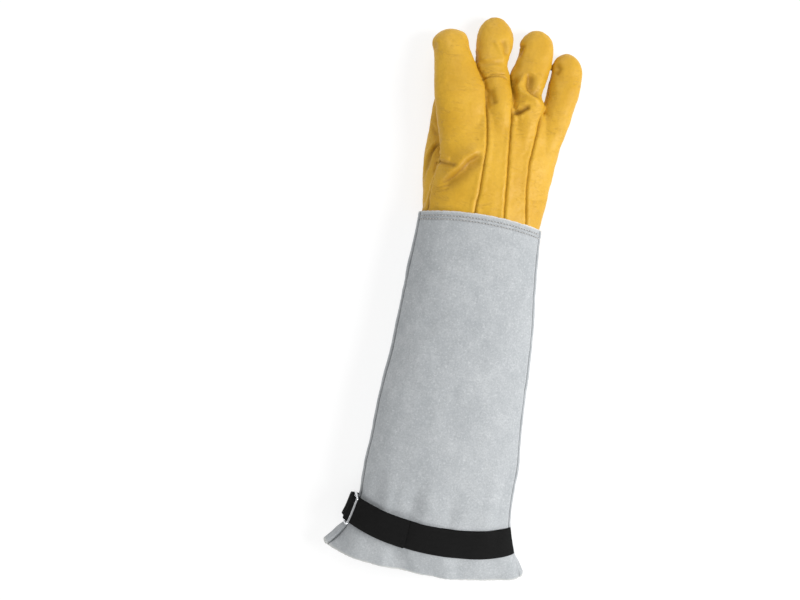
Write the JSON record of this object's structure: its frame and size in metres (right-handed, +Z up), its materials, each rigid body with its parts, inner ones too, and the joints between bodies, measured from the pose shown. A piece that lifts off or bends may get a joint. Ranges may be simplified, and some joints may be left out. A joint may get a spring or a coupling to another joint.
{
  "type": "animal handling glove",
  "caption": "Long glove for the right hand: yellow grain leather hand, grey split suede gauntlet and a black webbing strap with a wire slide, lying back up.",
  "frame": {"origin": "centre of the glove's footprint, on the surface that it lies on", "axes": "+Y towards the fingertips, +X towards the little finger, +Z up out of the back of the hand"},
  "size_m": [0.212, 0.591, 0.0689],
  "materials": {
    "yellow_leather": "soft yellow grain leather, slightly glossy",
    "grey_suede": "pale grey split suede, mottled nap",
    "black_webbing": "black woven webbing, matt",
    "slide_metal": "bright plated wire"
  },
  "bodies": {
    "root": {"palm_and_sides": "yellow_leather", "back_middle": "yellow_leather", "back_ring": "yellow_leather", "front_middle": "yellow_leather", "front_ring": "yellow_leather", "fourchette_index_middle": "yellow_leather", "fourchette_middle_ring": "yellow_leather", "fourchette_ring_little": "yellow_leather", "thumb": "yellow_leather", "thumb_gusset": "yellow_leather", "wrist_patch": "yellow_leather", "gauntlet_back": "grey_suede", "gauntlet_palm": "grey_suede", "strap": "black_webbing", "strap_anchor": "black_webbing", "strap_slide": "slide_metal"}
  },
  "joints": []
}
